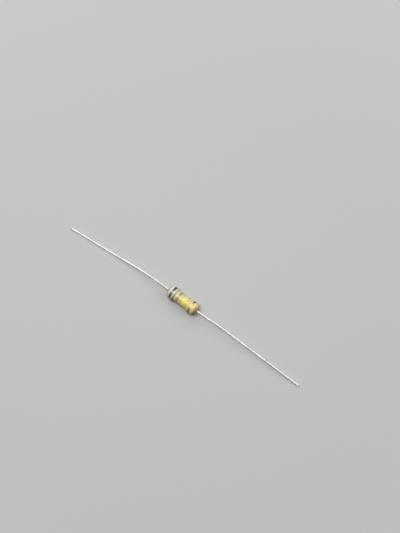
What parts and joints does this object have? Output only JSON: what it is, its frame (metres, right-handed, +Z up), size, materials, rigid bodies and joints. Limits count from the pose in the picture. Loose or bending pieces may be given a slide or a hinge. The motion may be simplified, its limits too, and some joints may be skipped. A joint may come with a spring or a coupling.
{
  "type": "axial resistor",
  "caption": "Axial lead resistor with a waisted lacquered body, painted colour bands and two long tinned wire leads, a little bent from handling.",
  "frame": {"origin": "middle of the bounding box's underside: on the table, 0.5 mm in front of the body's axis and halfway between the tips of the leads", "axes": "+X along the body's axis from the first colour band to the tolerance band, +Z up from the table"},
  "size_m": [0.0686, 0.0042, 0.0033],
  "materials": {
    "ceramic": "matte",
    "carbon": "satin",
    "tin_plate": "satin",
    "tinned_wire": "satin",
    "lacquer": "gloss",
    "blue_paint": "gloss",
    "grey_paint": "gloss",
    "yellow_paint": "gloss",
    "gold_paint": "satin"
  },
  "bodies": {
    "root": {"ceramic_core": "ceramic", "carbon_film": "carbon", "left_end_cap": "tin_plate", "right_end_cap": "tin_plate", "left_lead": "tinned_wire", "right_lead": "tinned_wire", "lacquer_coating": "lacquer", "first_digit_band": "blue_paint", "second_digit_band": "grey_paint", "multiplier_band": "yellow_paint", "tolerance_band": "gold_paint"}
  },
  "joints": []
}
